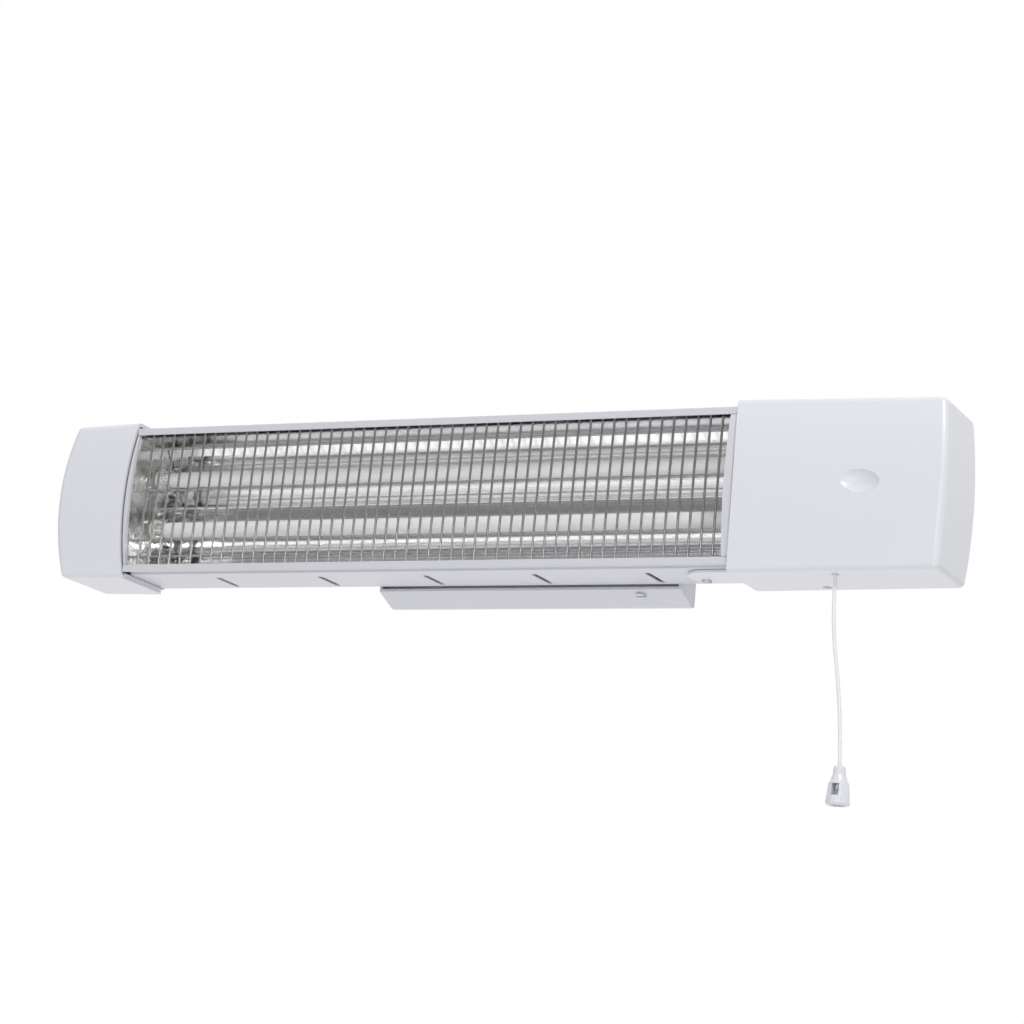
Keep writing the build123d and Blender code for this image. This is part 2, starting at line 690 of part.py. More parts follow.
# Cap screws: pan heads on the back of both caps, with shanks into the housing
with BuildPart() as cap_screws:
    for x in cap_screw_xs:
        for z in cap_screw_zs:
            rod_along_y(x, z, CAP_SCREW_HEAD, CAP_BACK, CAP_BACK + 1.8)
            rod_along_y(x, z, CAP_SCREW_RADIUS, CAP_BACK, Y_BACK - SHEET - 3)
write(cap_screws.part, "cap_screws")

with BuildPart() as tongue_screw:
    rod_up(tongue_screw_x, tongue_screw_y, TONGUE_SCREW_HEAD, tongue_low - 1.3, tongue_low)
    rod_up(tongue_screw_x, tongue_screw_y, TONGUE_SCREW_RADIUS, tongue_low, tongue_top)
    block(
        tongue_screw_x - TONGUE_SCREW_HEAD - 1, tongue_screw_x + TONGUE_SCREW_HEAD + 1,
        tongue_screw_y - SCREW_SLOT / 2, tongue_screw_y + SCREW_SLOT / 2,
        tongue_low - 2, tongue_low - 0.7, mode=Mode.SUBTRACT,
    )
write(tongue_screw.part, "tongue_screw")


# Wiring chassis: folded plate behind the housing's back edge, inside the right cap
chassis_y = Y_BACK - SHEET - SMALL_GAP
chassis_front = chassis_y - SHEET
chassis_start = insert_end + 1
chassis_end = X_RIGHT_END - 16
chassis_floor = cap_floor_top + 1.6
with BuildPart() as wiring_chassis:
    block(chassis_start, chassis_end, chassis_front, chassis_y, chassis_floor, Z_HIGH - 8)
    block(
        chassis_start, chassis_end, chassis_y - 16, chassis_front, chassis_floor, chassis_floor + SHEET
    )
    block(X_RIGHT + 1.5, chassis_start, chassis_front, chassis_y, Z_MID - 12, Z_MID + 12)
    rod_along_y(
        grommet_x, grommet_z, GROMMET_NECK + 1.4, chassis_y + 1, chassis_front - 1,
        mode=Mode.SUBTRACT,
    )
    rod_up(
        floor_screw_x, floor_screw_y, FLOOR_SCREW_RADIUS + 0.15, chassis_floor - 1,
        chassis_floor + SHEET + 1,
        mode=Mode.SUBTRACT,
    )
write(wiring_chassis.part, "wiring_chassis")

with BuildPart() as floor_screw:
    rod_up(floor_screw_x, floor_screw_y, FLOOR_SCREW_HEAD, chassis_floor - 2.4, chassis_floor)
    rod_up(floor_screw_x, floor_screw_y, FLOOR_SCREW_RADIUS, chassis_floor, chassis_floor + 6)
write(floor_screw.part, "floor_screw")


# Pull switch: base, forked lever, ratchet rotor, contacts and return spring
base_y = CORD_Y + 8.0
pivot_x = CORD_X + LEVER_ARM
lever_z = CORD_TOP - 0.7 - LEVER_THICKNESS / 2
lever_half = LEVER_THICKNESS / 2
rotor_z = lever_z + ROTOR_RADIUS + 5.0
base_floor = cap_floor_top + 1.1
pin_tip = CORD_Y - 8.5
with BuildPart() as switch_base:
    block(CORD_X - 9, pivot_x + 14, base_y, base_y + 3, base_floor, rotor_z + 11)
    block(CORD_X + 6, pivot_x + 14, CORD_Y - 4, base_y, base_floor, base_floor + 3)
    rod_along_y(pivot_x, lever_z, LEVER_PIN, base_y, pin_tip)
    rod_along_y(pivot_x, rotor_z, ROTOR_PIN, base_y, pin_tip)
write(switch_base.part, "switch_base")

with BuildPart() as switch_lever:
    rod_along_y(pivot_x, lever_z, 3.6, CORD_Y + 4, CORD_Y - 4)
    block(
        CORD_X - 6, pivot_x, CORD_Y - 3.4, CORD_Y + 3.4, lever_z - lever_half, lever_z + lever_half
    )
    block(
        CORD_X - 7, CORD_X + 4, CORD_Y - 1.7, CORD_Y + 1.7, lever_z - 2, lever_z + 2, mode=Mode.SUBTRACT
    )
    rod_along_y(pivot_x, lever_z, LEVER_PIN + PIVOT_FIT, CORD_Y + 5, CORD_Y - 5, mode=Mode.SUBTRACT)
write(switch_lever.part, "switch_lever")

with BuildPart() as switch_rotor:
    rod_along_y(pivot_x, rotor_z, ROTOR_RADIUS, CORD_Y + 4, CORD_Y - 4)
    with BuildSketch(facing_front(CORD_Y + 4)):
        with Locations((pivot_x, rotor_z)):
            with PolarLocations(ROTOR_RADIUS, 8):
                Circle(1.6)
    extrude(amount=3, mode=Mode.SUBTRACT)
    rod_along_y(pivot_x, rotor_z, ROTOR_PIN + PIVOT_FIT, CORD_Y + 5, CORD_Y - 5, mode=Mode.SUBTRACT)
write(switch_rotor.part, "switch_rotor")

with BuildPart() as switch_clips:
    for z, radius in ((lever_z, LEVER_PIN), (rotor_z, ROTOR_PIN)):
        rod_along_y(pivot_x, z, radius + 1.6, pin_tip + 1.4, pin_tip + 0.6)
        rod_along_y(pivot_x, z, radius, pin_tip + 2, pin_tip, mode=Mode.SUBTRACT)
write(switch_clips.part, "switch_clips")

with BuildPart() as contact_blades:
    for angle in (35, 90, 145):
        reach = ROTOR_RADIUS + 0.6
        x = pivot_x + reach * math.cos(math.radians(angle))
        z = rotor_z + reach * math.sin(math.radians(angle))
        block(x - 0.4, x + 0.4, CORD_Y - 2, base_y, z, z + 5)
write(contact_blades.part, "contact_blades")

with BuildPart() as return_spring:
    rod_along_y(pivot_x, lever_z, LEVER_PIN + 1.4, CORD_Y - 4.3, pin_tip + 1.7)
    rod_along_y(
        pivot_x, lever_z, LEVER_PIN + SMALL_GAP, CORD_Y - 4, pin_tip + 1, mode=Mode.SUBTRACT
    )
write(return_spring.part, "return_spring")

bushing_low = right_low + RIGHT_CAP_RISE / 2 + 0.1
bushing_shelf = cap_floor_top + RIGHT_CAP_RISE / 2 + 0.2
with BuildPart() as cord_bushing:
    rod_up(CORD_X, CORD_Y, BUSHING_RADIUS - 0.1, bushing_low, bushing_shelf)
    rod_up(CORD_X, CORD_Y, BUSHING_RADIUS + 1.5, bushing_shelf, bushing_shelf + 1.8)
    rod_up(CORD_X, CORD_Y, BUSHING_BORE, right_low - 3, right_low + 8, mode=Mode.SUBTRACT)
write(cord_bushing.part, "cord_bushing")


# Pull cord: straight runs joined by arcs as large as the runs allow
def corner_radii(points):
    """The largest arc radius at each inner point of a route."""
    radii = []
    for before, here, after in zip(points, points[1:], points[2:]):
        run_in = Vector(*here) - Vector(*before)
        run_out = Vector(*after) - Vector(*here)
        turn = math.radians(run_in.get_angle(run_out))
        radii.append(0.45 * min(run_in.length, run_out.length) / math.tan(turn / 2))
    return radii


def tube_on(points, diameter):
    """A round tube along a route of straight runs and tangent arcs."""
    with BuildPart() as tube:
        with BuildLine() as path:
            FilletPolyline(*points, radius=corner_radii(points))
        with BuildSketch(Plane(origin=path.line @ 0, z_dir=path.line % 0)):
            Circle(diameter / 2)
        sweep()
    section = math.pi * diameter ** 2 / 4
    length = sum(edge.length for edge in path.edges())
    radii = [round(radius, 1) for radius in corner_radii(points)]
    share = round(tube.part.volume / (section * length), 5)
    print("route", round(length, 2), "radii", radii, "volume share", share)
    return tube.part


write(tube_on(CORD_POINTS, CORD_DIAMETER), "pull_cord")

with BuildPart() as cord_ball:
    with Locations((CORD_X, CORD_Y, CORD_TOP + 2.0)):
        Sphere(BALL_RADIUS)
    block(
        CORD_X - 4, CORD_X + 4, CORD_Y - 4, CORD_Y + 4, CORD_TOP - 3, CORD_TOP, mode=Mode.SUBTRACT
    )
write(cord_ball.part, "cord_ball")

# Pull knob: a bell with a window in its front, through which the cord's knot shows
knob_x, knob_y, knob_top = CORD_POINTS[-1]
with BuildPart() as pull_knob:
    with BuildSketch(Plane.XZ):
        with BuildLine():
            Polyline(
                (0, 0), (KNOB_TOP_RADIUS - 0.6, 0), (KNOB_TOP_RADIUS, -0.8),
                (KNOB_TOP_RADIUS + 0.4, -5.0), (KNOB_NECK_RADIUS, -8.4), (KNOB_SHOULDER_RADIUS, -9.6),
                (KNOB_BASE_RADIUS - 0.3, -KNOB_HEIGHT + 5), (KNOB_BASE_RADIUS, -KNOB_HEIGHT + 1),
                (KNOB_BASE_RADIUS - 0.8, -KNOB_HEIGHT), (0, -KNOB_HEIGHT), close=True,
            )
        make_face()
    revolve(axis=Axis.Z)
    rod_up(0, 0, KNOB_BASE_RADIUS - 2.4, -KNOB_HEIGHT - 1, -KNOB_HEIGHT + 6.5, mode=Mode.SUBTRACT)
    rod_up(0, 0, KNOT_RADIUS + 0.4, -KNOB_HEIGHT, -8.5, mode=Mode.SUBTRACT)
    block(-2.2, 2.2, -KNOB_BASE_RADIUS - 1, 0, -17.0, -10.2, mode=Mode.SUBTRACT)
write(Pos(knob_x, knob_y, knob_top) * pull_knob.part, "pull_knob")

with BuildPart() as cord_knot:
    with Locations((knob_x, knob_y, knob_top - 8.7 - KNOT_RADIUS)):
        Sphere(KNOT_RADIUS)
write(cord_knot.part, "cord_knot")


# Terminal block, grommet, cut-out and leads inside the right cap
terminal_x = X_RIGHT + 78.0
terminal_low = Z_MID - 2.0
with BuildPart() as terminal_block:
    block(
        terminal_x - 16, terminal_x + 16, chassis_front - 16, chassis_front, terminal_low,
        terminal_low + 16,
    )
    for step in (-1, 0, 1):
        rod_along_y(
            terminal_x + step * 10, terminal_low + 8, 2.4, chassis_front - 11, chassis_front - 17,
            mode=Mode.SUBTRACT,
        )
write(terminal_block.part, "terminal_block")

with BuildPart() as terminal_screws:
    for step in (-1, 0, 1):
        rod_along_y(
            terminal_x + step * 10, terminal_low + 8, 2.1, chassis_front - 11, chassis_front - 14
        )
write(terminal_screws.part, "terminal_screws")

with BuildPart() as cable_grommet:
    rod_along_y(grommet_x, grommet_z, GROMMET_FLANGE, CAP_BACK, CAP_BACK + 1.6)
    rod_along_y(grommet_x, grommet_z, GROMMET_NECK, CAP_BACK, chassis_front - 2)
    rod_along_y(grommet_x, grommet_z, GROMMET_BORE, CAP_BACK + 3, chassis_front - 3, mode=Mode.SUBTRACT)
write(cable_grommet.part, "cable_grommet")

cutout_x = X_RIGHT + 26.0
with BuildPart() as thermal_cutout:
    rod_along_y(cutout_x, Z_MID + 18, 8.0, chassis_front, chassis_front - 9)
    block(cutout_x - 12, cutout_x + 12, chassis_front - 2, chassis_front, Z_MID + 14, Z_MID + 22)
write(thermal_cutout.part, "thermal_cutout")

pin_left = X_LEFT + CERAMIC_SETBACK - CERAMIC_LENGTH - PIN_LENGTH
pin_right = X_RIGHT - CERAMIC_SETBACK + CERAMIC_LENGTH + PIN_LENGTH
jumper_points = (
    (pin_left, TUBE_Y, TUBE_HIGH), (pin_left - 9, TUBE_Y, TUBE_HIGH),
    (pin_left - 9, TUBE_Y, TUBE_LOW), (pin_left, TUBE_Y, TUBE_LOW),
)
write(tube_on(jumper_points, LEAD_DIAMETER), "jumper_lead")
block_lead_x = terminal_x - 10
block_lead_y = chassis_front - 8
upper_points = (
    (pin_right, TUBE_Y, TUBE_HIGH), (pin_right + 14, TUBE_Y, TUBE_HIGH),
    (block_lead_x, block_lead_y, TUBE_HIGH + 6), (block_lead_x, block_lead_y, terminal_low + 16),
)
write(tube_on(upper_points, LEAD_DIAMETER), "lead_upper")
blade_angle = math.radians(145)
blade_x = pivot_x + (ROTOR_RADIUS + 0.6) * math.cos(blade_angle)
blade_top = rotor_z + (ROTOR_RADIUS + 0.6) * math.sin(blade_angle) + 5
lower_points = (
    (pin_right, TUBE_Y, TUBE_LOW), (pin_right + 10, TUBE_Y, TUBE_LOW),
    (blade_x, CORD_Y + 3, blade_top + 16), (blade_x, CORD_Y + 3, blade_top),
)
write(tube_on(lower_points, LEAD_DIAMETER), "lead_lower")


# Wall bracket: wall plate, sloping floor and two ears that carry the tilt pivots
fold_z = Z_LOW - BRACKET_DROP
slope = math.tan(math.radians(FLOOR_SLOPE))
plate_rise = BRACKET_SHEET / math.cos(math.radians(FLOOR_SLOPE))
fold_y = -5.0
floor_front_y = Y_BACK + FLOOR_SHORTFALL


def floor_z(y):
    """The height of the floor's lower face at depth y."""
    return fold_z + (fold_y - y) * slope


stop_plane = Plane(
    origin=(STOP_SCREW_X, STOP_SCREW_Y, floor_z(STOP_SCREW_Y)), x_dir=(1, 0, 0),
    z_dir=(0, -slope, -1),
)
with BuildPart() as wall_bracket:
    with BuildSketch(across(-EAR_X)):
        with BuildLine():
            Polyline(
                (0, fold_z + 1.5), (0, BRACKET_TOP), (-4, BRACKET_TOP),
                (PIVOT_Y, PIVOT_Z + BOSS_RADIUS), (PIVOT_Y, PIVOT_Z),
                (PIVOT_Y - 3.9, PIVOT_Z - 3.1), (floor_front_y, floor_z(floor_front_y) + plate_rise),
                (floor_front_y, floor_z(floor_front_y)), (fold_y, fold_z), (-1.5, fold_z), close=True,
            )
        make_face()
        with Locations((PIVOT_Y, PIVOT_Z)):
            Circle(BOSS_RADIUS)
    extrude(amount=BRACKET_LENGTH)
    inner_corner_y = -BRACKET_SHEET
    inner_points = (
        (inner_corner_y, floor_z(inner_corner_y) + plate_rise), (inner_corner_y, BRACKET_TOP + 1),
        (Y_BACK - 9, BRACKET_TOP + 1), (Y_BACK - 9, floor_z(Y_BACK - 9) + plate_rise),
    )
    extrude(
        outline(across(-EAR_X + BRACKET_SHEET), inner_points),
        amount=BRACKET_LENGTH - 2 * BRACKET_SHEET, mode=Mode.SUBTRACT,
    )
    rod_along_x(
        PIVOT_Y, PIVOT_Z, PIVOT_RADIUS + PIVOT_FIT, -EAR_X - 1, EAR_X + 1, mode=Mode.SUBTRACT
    )
    for side in (-1, 1):
        rod_along_y(side * SCREW_SPACING / 2, 0, SCREW_HOLE_RADIUS, 1, -3, mode=Mode.SUBTRACT)
    with BuildSketch(stop_plane):
        Circle(STOP_SCREW_RADIUS + 0.2)
    extrude(amount=3, both=True, mode=Mode.SUBTRACT)
write(wall_bracket.part, "wall_bracket")

with BuildPart() as bracket_screw:
    with BuildSketch(stop_plane):
        Circle(STOP_SCREW_HEAD)
    extrude(amount=STOP_SCREW_HEAD_HEIGHT)
    with BuildSketch(stop_plane):
        Circle(STOP_SCREW_RADIUS)
    extrude(amount=-4)
    with BuildSketch(stop_plane.offset(STOP_SCREW_HEAD_HEIGHT)):
        Rectangle(2 * STOP_SCREW_HEAD + 0.6, SCREW_SLOT)
    extrude(amount=-0.7, mode=Mode.SUBTRACT)
write(bracket_screw.part, "bracket_screw")


# Tilt lugs: folded ears on the back of the housing, just inside the bracket's ears
lug_low = PIVOT_Z - LUG_BELOW
lug_high = PIVOT_Z + LUG_ABOVE
lug_screw_x = LUG_X - LUG_SHEET - 10.5
lug_screw_heights = (PIVOT_Z + 1.0, PIVOT_Z + 10.0)
for side, name in ((-1, "tilt_lug_left"), (1, "tilt_lug_right")):
    x_out = side * LUG_X
    x_in = side * (LUG_X - LUG_SHEET)
    x_foot = side * (LUG_X - LUG_FOOT)
    with BuildPart() as tilt_lug:
        block(x_out, x_in, Y_BACK, PIVOT_Y + BOSS_RADIUS, lug_low, lug_high)
        block(x_in, x_foot, Y_BACK, Y_BACK + LUG_SHEET, lug_low, lug_high)
        rod_along_x(
            PIVOT_Y, PIVOT_Z, PIVOT_RADIUS + PIVOT_FIT, x_out + side, x_in - side, mode=Mode.SUBTRACT
        )
        for z in lug_screw_heights:
            rod_along_y(
                side * lug_screw_x, z, LUG_SCREW_RADIUS + 0.2, Y_BACK + 3, Y_BACK - 1,
                mode=Mode.SUBTRACT,
            )
    write(tilt_lug.part, name)

with BuildPart() as lug_screws:
    for side in (-1, 1):
        for z in lug_screw_heights:
            x = side * lug_screw_x
            rod_along_y(x, z, LUG_SCREW_HEAD, Y_BACK + LUG_SHEET, Y_BACK + LUG_SHEET + 1.6)
            rod_along_y(x, z, LUG_SCREW_RADIUS, Y_BACK, Y_BACK + LUG_SHEET)
write(lug_screws.part, "lug_screws")

# Pivot bolts: round head outside each ear, nut inside each lug
with BuildPart() as pivot_bolts:
    for side in (-1, 1):
        rod_along_x(PIVOT_Y, PIVOT_Z, PIVOT_RADIUS, side * EAR_X, side * (LUG_X - LUG_SHEET - 5.0))
        rod_along_x(
            PIVOT_Y, PIVOT_Z, PIVOT_HEAD_RADIUS, side * EAR_X, side * (EAR_X + PIVOT_HEAD_HEIGHT)
        )
write(pivot_bolts.part, "pivot_bolts")

with BuildPart() as pivot_washers:
    for side in (-1, 1):
        inner = side * (EAR_X - BRACKET_SHEET)
        outer = side * (EAR_X - BRACKET_SHEET - WASHER_SHEET)
        rod_along_x(PIVOT_Y, PIVOT_Z, BOSS_RADIUS - 0.5, inner, outer)
        rod_along_x(
            PIVOT_Y, PIVOT_Z, PIVOT_RADIUS + PIVOT_FIT, inner + side, outer - side, mode=Mode.SUBTRACT
        )
write(pivot_washers.part, "pivot_washers")

with BuildPart() as pivot_nuts:
    for side in (-1, 1):
        with BuildSketch(across(side * (LUG_X - LUG_SHEET - SMALL_GAP))):
            with Locations((PIVOT_Y, PIVOT_Z)):
                RegularPolygon(PIVOT_HEAD_RADIUS, 6, major_radius=False)
                Circle(PIVOT_RADIUS, mode=Mode.SUBTRACT)
        extrude(amount=-side * NUT_HEIGHT)
write(pivot_nuts.part, "pivot_nuts")
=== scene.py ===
"""A wall-mounted quartz heater with a pull cord, seen from below and from its right."""
import math

import bpy
from mathutils import Matrix, Vector, noise


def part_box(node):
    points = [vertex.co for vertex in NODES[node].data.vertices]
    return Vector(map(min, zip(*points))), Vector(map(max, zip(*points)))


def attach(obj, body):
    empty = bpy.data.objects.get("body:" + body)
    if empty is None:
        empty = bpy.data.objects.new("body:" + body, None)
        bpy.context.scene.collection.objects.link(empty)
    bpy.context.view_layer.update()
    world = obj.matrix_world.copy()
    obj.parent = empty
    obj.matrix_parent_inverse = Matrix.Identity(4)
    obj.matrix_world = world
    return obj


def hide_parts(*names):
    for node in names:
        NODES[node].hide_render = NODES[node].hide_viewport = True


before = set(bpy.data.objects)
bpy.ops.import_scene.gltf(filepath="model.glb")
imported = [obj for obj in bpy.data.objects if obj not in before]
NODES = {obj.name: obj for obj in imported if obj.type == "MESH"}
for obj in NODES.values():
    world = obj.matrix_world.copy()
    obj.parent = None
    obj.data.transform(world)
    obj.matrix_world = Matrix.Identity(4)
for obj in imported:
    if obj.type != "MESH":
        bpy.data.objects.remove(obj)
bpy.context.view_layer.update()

SCENE = bpy.context.scene

# Camera
CAMERA_PLACE = (0.76179, -1.59385, -0.39300)
CAMERA_YAW = 26.31
CAMERA_RISE = 12.89
CAMERA_ROLL = 5.07
LENS = 101.18

camera_data = bpy.data.cameras.new("camera")
camera_data.lens = LENS
camera_data.sensor_width = 36.0
camera = bpy.data.objects.new("camera", camera_data)
SCENE.collection.objects.link(camera)
camera.matrix_world = (
    Matrix.Translation(CAMERA_PLACE)
    @ Matrix.Rotation(math.radians(CAMERA_YAW), 4, "Z")
    @ Matrix.Rotation(math.radians(90 + CAMERA_RISE), 4, "X")
    @ Matrix.Rotation(math.radians(CAMERA_ROLL), 4, "Z")
)
SCENE.camera = camera


class Shader:
    """One procedural material: a Principled shader, and short ways to feed it."""

    def __init__(self, name):
        self.material = bpy.data.materials.new(name)
        self.material.use_nodes = True
        self.tree = self.material.node_tree
        self.tree.nodes.clear()
        out = self.tree.nodes.new("ShaderNodeOutputMaterial")
        self.bsdf = self.tree.nodes.new("ShaderNodeBsdfPrincipled")
        self.link(self.bsdf.outputs[0], out.inputs["Surface"])
        self.coords = self.tree.nodes.new("ShaderNodeTexCoord")
        self.last_bump = None

    def link(self, source, target):
        self.tree.links.new(source, target)

    def set(self, **values):
        """Sets the shader's own sockets: names have underscores for spaces."""
        for key, value in values.items():
            self.bsdf.inputs[key.replace("_", " ")].default_value = value

    def place(self, stretch=(1, 1, 1), turn=(0, 0, 0)):
        """The surface's own coordinates in metres, stretched and turned."""
        node = self.tree.nodes.new("ShaderNodeMapping")
        node.inputs["Scale"].default_value = stretch
        node.inputs["Rotation"].default_value = turn
        self.link(self.coords.outputs["Object"], node.inputs["Vector"])
        return node.outputs["Vector"]

    def noise(self, scale, detail=2.0, stretch=(1, 1, 1), twist=0.0):
        """A cloudy pattern, with scale lumps to the metre."""
        node = self.tree.nodes.new("ShaderNodeTexNoise")
        node.inputs["Scale"].default_value = scale
        node.inputs["Detail"].default_value = detail
        node.inputs["Distortion"].default_value = twist
        self.link(self.place(stretch), node.inputs["Vector"])
        return node.outputs["Fac"]

    def bands(self, scale, axis="X", turn=(0, 0, 0)):
        """Parallel stripes across an axis, their coordinates turned."""
        node = self.tree.nodes.new("ShaderNodeTexWave")
        node.bands_direction = axis
        node.inputs["Scale"].default_value = scale
        self.link(self.place(turn=turn), node.inputs["Vector"])
        return node.outputs["Fac"]

    def math(self, operation, first, second):
        """The result of one operation on two outputs or numbers."""
        node = self.tree.nodes.new("ShaderNodeMath")
        node.operation = operation
        for socket, value in zip(node.inputs, (first, second)):
            if isinstance(value, (int, float)):
                socket.default_value = value
            else:
                self.link(value, socket)
        return node.outputs[0]

    def spread(self, value, low, high, start=0.0, end=1.0):
        """Maps value from the range start to end onto the range low to high."""
        node = self.tree.nodes.new("ShaderNodeMapRange")
        node.inputs["From Min"].default_value = start
        node.inputs["From Max"].default_value = end
        node.inputs["To Min"].default_value = low
        node.inputs["To Max"].default_value = high
        self.link(value, node.inputs["Value"])
        return node.outputs["Result"]

    def tint(self, factor, first, second):
        """A colour between two, by factor. A colour is three numbers or an output."""
        node = self.tree.nodes.new("ShaderNodeMix")
        node.data_type = "RGBA"
        self.link(factor, node.inputs["Factor"])
        sockets = [s for s in node.inputs if s.type == "RGBA"]
        for socket, colour in zip(sockets, (first, second)):
            if isinstance(colour, tuple):
                socket.default_value = (*colour, 1.0)
            else:
                self.link(colour, socket)
        return next(s for s in node.outputs if s.type == "RGBA")

    def feed(self, name, value):
        """Links an output to one of the shader's sockets."""
        self.link(value, self.bsdf.inputs[name])

    def bump(self, height, depth):
        """Adds relief, depth in metres, to what is there."""
        node = self.tree.nodes.new("ShaderNodeBump")
        node.inputs["Distance"].default_value = depth
        self.link(height, node.inputs["Height"])
        if self.last_bump is not None:
            self.link(self.last_bump, node.inputs["Normal"])
        self.last_bump = node.outputs["Normal"]
        self.link(self.last_bump, self.bsdf.inputs["Normal"])


# Materials
def white_enamel():
    """Baked enamel on sheet: fine orange peel and a faint cloud in the colour."""
    s = Shader("white_enamel")
    s.set(Coat_Weight=0.25, Coat_Roughness=0.12)
    s.feed("Base Color", s.tint(s.noise(9, 3), (0.570, 0.575, 0.620), (0.600, 0.605, 0.648)))
    s.feed("Roughness", s.spread(s.noise(60, 4), 0.30, 0.42))
    s.bump(s.noise(700, 2), 0.00002)
    return s.material


def white_plastic():
    """Moulded plastic, half gloss, with a fine spark texture."""
    s = Shader("white_plastic")
    s.set(Coat_Weight=0.15, Coat_Roughness=0.2)
    s.feed("Base Color", s.tint(s.noise(7, 3), (0.665, 0.672, 0.716), (0.685, 0.692, 0.733)))
    s.feed("Roughness", s.spread(s.noise(90, 4), 0.30, 0.40))
    s.bump(s.noise(2600, 3), 0.000008)
    return s.material


def polished_reflector():
    """Polished sheet with a grain rolled along its length and a slight waviness."""
    s = Shader("polished_reflector")
    s.set(Metallic=1.0)
    grain = s.noise(1.0, 4, stretch=(14, 2600, 2600))
    s.feed("Base Color", s.tint(grain, (0.91, 0.91, 0.92), (0.97, 0.97, 0.975)))
    s.feed("Roughness", s.spread(grain, 0.11, 0.16))
    s.bump(s.noise(40, 2, stretch=(0.5, 1.6, 1.6)), 0.00008)
    s.bump(grain, 0.000001)
    return s.material


def end_foil():
    """Thin foil, its colour darkened in uneven patches: painted reflection of dark surroundings.
    """
    s = Shader("end_foil")
    s.set(Metallic=1.0)
    # Painted reflection: dark and light patches in the colour stand in for the dark surroundings
    # the foil mirrors.
    painted_dark_reflection = s.spread(s.noise(55, 4, twist=0.4), 0, 1, start=0.35, end=0.65)
    s.feed("Base Color", s.tint(painted_dark_reflection, (0.28, 0.27, 0.255), (0.68, 0.67, 0.65)))
    s.feed("Roughness", s.spread(s.noise(200, 3), 0.18, 0.36))
    s.bump(s.noise(260, 3), 0.0002)
    return s.material


def plated_wire(name, dark, light, rough):
    """Plated wire with a drawn grain."""
    s = Shader(name)
    s.set(Metallic=1.0)
    s.feed("Base Color", s.tint(s.noise(300, 3), dark, light))
    s.feed("Roughness", s.spread(s.noise(500, 3), *rough))
    s.bump(s.noise(900, 2, stretch=(4, 4, 0.3)), 0.00001)
    return s.material


def milky_quartz():
    """Milky tube: fine streaks along it, and the coil's ghost behind them."""
    s = Shader("milky_quartz")
    s.set(Coat_Weight=0.3, Coat_Roughness=0.08, IOR=1.46)
    streak = s.noise(1.0, 4, stretch=(12, 900, 900))
    ghost = s.tint(s.bands(260, "X"), (0.93, 0.93, 0.935), (0.97, 0.97, 0.97))
    s.feed("Base Color", s.tint(streak, ghost, (0.98, 0.98, 0.98)))
    s.feed("Roughness", s.spread(streak, 0.22, 0.38))
    s.bump(streak, 0.00001)
    return s.material


def resistance_wire():
    """Oxidised wire, wound close."""
    s = Shader("resistance_wire")
    s.set(Metallic=0.9)
    s.feed("Base Color", s.tint(s.noise(700, 3), (0.20, 0.18, 0.17), (0.36, 0.33, 0.30)))
    s.feed("Roughness", s.spread(s.noise(900, 3), 0.45, 0.65))
    s.bump(s.bands(500, "X"), 0.0002)
    return s.material


def speckled(name, dark, light, rough, scale, depth, metallic=0.0):
    """A plain finish whose colour, roughness and relief follow one fine speckle."""
    s = Shader(name)
    s.set(Metallic=metallic)
    patch = s.noise(scale, 4)
    s.feed("Base Color", s.tint(patch, dark, light))
    s.feed("Roughness", s.spread(patch, *rough))
    s.bump(patch, depth)
    return s.material


def braided(name, dark, light, scale, depth):
    """Two families of diagonal strands round the piece."""
    s = Shader(name)
    right = s.bands(scale, "DIAGONAL")
    left = s.bands(scale, "DIAGONAL", turn=(0, 0, math.radians(90)))
    strand = s.math("MAXIMUM", right, left)
    s.feed("Base Color", s.tint(strand, dark, light))
    s.feed("Roughness", s.spread(strand, 0.85, 0.65))
    s.bump(strand, depth)
    return s.material


MATERIALS = {
    "white_enamel": white_enamel(),
    "white_plastic": white_plastic(),
    "polished_reflector": polished_reflector(),
    "guard_wire": plated_wire(
        "guard_wire", (0.70, 0.70, 0.71), (0.84, 0.84, 0.85), (0.10, 0.20)
    ),
    "milky_quartz": milky_quartz(),
    "resistance_wire": resistance_wire(),
    "white_ceramic": speckled(
        "white_ceramic", (0.80, 0.78, 0.73), (0.88, 0.86, 0.82), (0.5, 0.7), 1500, 0.00003
    ),
    "spring_steel": speckled(
        "spring_steel", (0.80, 0.80, 0.81), (0.92, 0.92, 0.93), (0.12, 0.25), 420, 0.00022, 1.0
    ),
    "zinc_steel": speckled(
        "zinc_steel", (0.50, 0.51, 0.53), (0.68, 0.69, 0.71), (0.25, 0.42), 400, 0.00001, 1.0
    ),
    "switch_plastic": speckled(
        "switch_plastic", (0.70, 0.67, 0.58), (0.76, 0.73, 0.64), (0.45, 0.6), 900, 0.00001
    ),
    "contact_brass": speckled(
        "contact_brass", (0.62, 0.45, 0.20), (0.76, 0.58, 0.30), (0.22, 0.38), 350, 0.00001, 1.0
    ),
    "lead_sleeve": braided("lead_sleeve", (0.50, 0.48, 0.42), (0.72, 0.70, 0.64), 420, 0.0001),
    "black_rubber": speckled(
        "black_rubber", (0.012, 0.012, 0.012), (0.03, 0.03, 0.03), (0.6, 0.8), 1200, 0.00002
    ),
    "white_cord": braided("white_cord", (0.66, 0.67, 0.70), (0.80, 0.81, 0.83), 380, 0.00008),
}

for node in NODES.values():
    for place in node.material_slots:
        place.material = MATERIALS[place.material.name.split(".")[0]]
# Painted shade: the rails get a darker, duller copy of the guard-wire plating so they read as
# dark lines.
NODES["guard_rails"].material_slots[0].material = plated_wire(
    "guard_rails", (0.34, 0.34, 0.35), (0.46, 0.46, 0.47), (0.25, 0.40)
)


def add_piece(name, data, body, node):
    """A new piece that rides on a body and stands for a CAD node."""
    piece = bpy.data.objects.new(name, data)
    SCENE.collection.objects.link(piece)
    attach(piece, body)
    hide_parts(node)
    return piece


